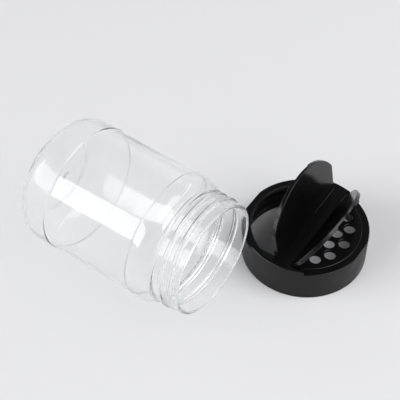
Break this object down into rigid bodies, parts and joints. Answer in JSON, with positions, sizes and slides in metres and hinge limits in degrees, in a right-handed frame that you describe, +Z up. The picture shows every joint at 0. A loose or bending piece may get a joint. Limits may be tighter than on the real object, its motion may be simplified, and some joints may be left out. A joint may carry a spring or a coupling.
{
  "type": "spice shaker jar",
  "caption": "Clear plastic spice jar lying on its side, with its black two-flap shaker cap standing open beside the mouth.",
  "frame": {"origin": "on the table, under the middle of the box around the jar and the cap", "axes": "+X along the jar's axis, from its base to its mouth; +Z up; +Y to the side where the cap stands"},
  "size_m": [0.1272, 0.106, 0.0586],
  "materials": {
    "clear_plastic": "clear, glossy",
    "black_satin": "satin",
    "black_gloss": "glossy"
  },
  "bodies": {
    "jar": {"jar": "clear_plastic"},
    "cap": {"cap_body": "black_satin"},
    "pour_flap": {"pour_flap": "black_gloss"},
    "sifter_flap": {"sifter_flap": "black_gloss"}
  },
  "joints": [
    {"name": "cap_lift", "type": "slide", "parent": "jar", "child": "cap", "axis": [0.265, 0.424, 0.866], "range_m": [0, 0.1]},
    {"name": "pour_flap_hinge", "type": "hinge", "parent": "cap", "child": "pour_flap", "pos_m": [0.0358, 0.02506, 0.0173], "axis": [-0.0471, 0.9989, 0], "range_deg": [-80.4, 14.6]},
    {"name": "sifter_flap_hinge", "type": "hinge", "parent": "cap", "child": "sifter_flap", "pos_m": [0.04259, 0.02538, 0.0173], "axis": [0.0471, -0.9989, 0], "range_deg": [-58, 37]}
  ]
}
